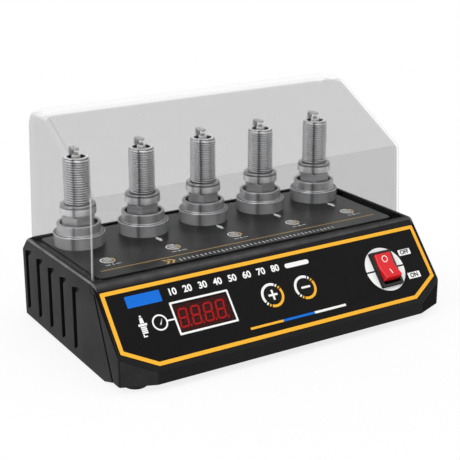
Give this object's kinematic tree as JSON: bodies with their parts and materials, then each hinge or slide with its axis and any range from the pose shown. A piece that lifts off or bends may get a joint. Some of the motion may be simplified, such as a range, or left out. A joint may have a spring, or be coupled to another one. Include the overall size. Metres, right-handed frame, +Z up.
{
  "type": "spark plug tester",
  "caption": "Bench spark plug tester: black sloped case with display, keys and rocker switch, a row of sockets with plugs, and a clear lift-off cover.",
  "frame": {"origin": "centre of the footprint, on the table under the feet", "axes": "+X along the panel to the right of the person facing it, +Y to the rear, +Z up"},
  "size_m": [0.195, 0.117, 0.1159],
  "materials": {
    "case_black": "fine satin moulded texture",
    "foot_rubber": "matte",
    "screw_steel": "zinc plated",
    "deck_black": "glossy moulded",
    "clear_cover": "clear acrylic",
    "panel_print": "printed matte film",
    "display_red": "dark red filter",
    "display_body": "moulded",
    "board_green": "solder mask",
    "switch_black": "moulded",
    "key_black": "satin",
    "rocker_red": "glossy moulded",
    "contact_brass": "bright",
    "lens_clear": "frosted",
    "coil_black": "potted",
    "cable_grey": "flat cable",
    "socket_black": "glossy moulded",
    "collar_nickel": "turned and plated",
    "plug_steel": "nickel plated",
    "gasket_steel": "plated",
    "ceramic_white": "glazed",
    "core_metal": "nickel alloy"
  },
  "bodies": {
    "case": {"housing": "case_black", "front_fascia": "case_black", "base_plate": "case_black", "rubber_feet": "foot_rubber", "base_screws": "screw_steel", "deck_screws": "screw_steel", "board_screws": "screw_steel", "jack_nut": "screw_steel", "deck_plate": "deck_black", "front_overlay": "panel_print", "display_window": "display_red", "display_module": "display_body", "control_board": "board_green", "indicator_board": "board_green", "main_board": "board_green", "key_switches": "switch_black", "switch_frame": "switch_black", "dc_jack": "switch_black", "switch_terminals": "contact_brass", "contact_cups": "contact_brass", "ground_bus": "contact_brass", "indicator_lenses": "lens_clear", "indicator_leds": "lens_clear", "ignition_coils": "coil_black", "ribbon_cable": "cable_grey", "socket_insulator_1": "socket_black", "socket_insulator_2": "socket_black", "socket_insulator_3": "socket_black", "socket_insulator_4": "socket_black", "socket_insulator_5": "socket_black", "ground_collar_1": "collar_nickel", "ground_collar_2": "collar_nickel", "ground_collar_3": "collar_nickel", "ground_collar_4": "collar_nickel", "ground_collar_5": "collar_nickel"},
    "clear_cover": {"cover": "clear_cover"},
    "rocker": {"rocker": "rocker_red"},
    "plus_key": {"plus_key": "key_black"},
    "minus_key": {"minus_key": "key_black"},
    "plug_1": {"plug_shell_1": "plug_steel", "plug_gasket_1": "gasket_steel", "plug_insulator_1": "ceramic_white", "plug_core_1": "core_metal"},
    "plug_2": {"plug_shell_2": "plug_steel", "plug_gasket_2": "gasket_steel", "plug_insulator_2": "ceramic_white", "plug_core_2": "core_metal"},
    "plug_3": {"plug_shell_3": "plug_steel", "plug_gasket_3": "gasket_steel", "plug_insulator_3": "ceramic_white", "plug_core_3": "core_metal"},
    "plug_4": {"plug_shell_4": "plug_steel", "plug_gasket_4": "gasket_steel", "plug_insulator_4": "ceramic_white", "plug_core_4": "core_metal"},
    "plug_5": {"plug_shell_5": "plug_steel", "plug_gasket_5": "gasket_steel", "plug_insulator_5": "ceramic_white", "plug_core_5": "core_metal"}
  },
  "joints": [
    {"name": "cover_lift", "type": "slide", "parent": "case", "child": "clear_cover", "axis": [0, 0, 1], "range_m": [0, 0.06]},
    {"name": "rocker_tilt", "type": "hinge", "parent": "case", "child": "rocker", "pos_m": [0.0665, -0.04186, 0.0256], "axis": [1, 0, 0], "range_deg": [0, 18]},
    {"name": "plus_key_press", "type": "slide", "parent": "case", "child": "plus_key", "axis": [0, 0.7547, -0.6561], "range_m": [0, 0.0004], "stiffness_N_per_m": 900},
    {"name": "minus_key_press", "type": "slide", "parent": "case", "child": "minus_key", "axis": [0, 0.7547, -0.6561], "range_m": [0, 0.0004], "stiffness_N_per_m": 900},
    {"name": "plug_1_lift", "type": "slide", "parent": "case", "child": "plug_1", "axis": [0, 0, 1], "range_m": [0, 0.014]},
    {"name": "plug_2_lift", "type": "slide", "parent": "case", "child": "plug_2", "axis": [0, 0, 1], "range_m": [0, 0.014]},
    {"name": "plug_3_lift", "type": "slide", "parent": "case", "child": "plug_3", "axis": [0, 0, 1], "range_m": [0, 0.014]},
    {"name": "plug_4_lift", "type": "slide", "parent": "case", "child": "plug_4", "axis": [0, 0, 1], "range_m": [0, 0.014]},
    {"name": "plug_5_lift", "type": "slide", "parent": "case", "child": "plug_5", "axis": [0, 0, 1], "range_m": [0, 0.014]}
  ]
}
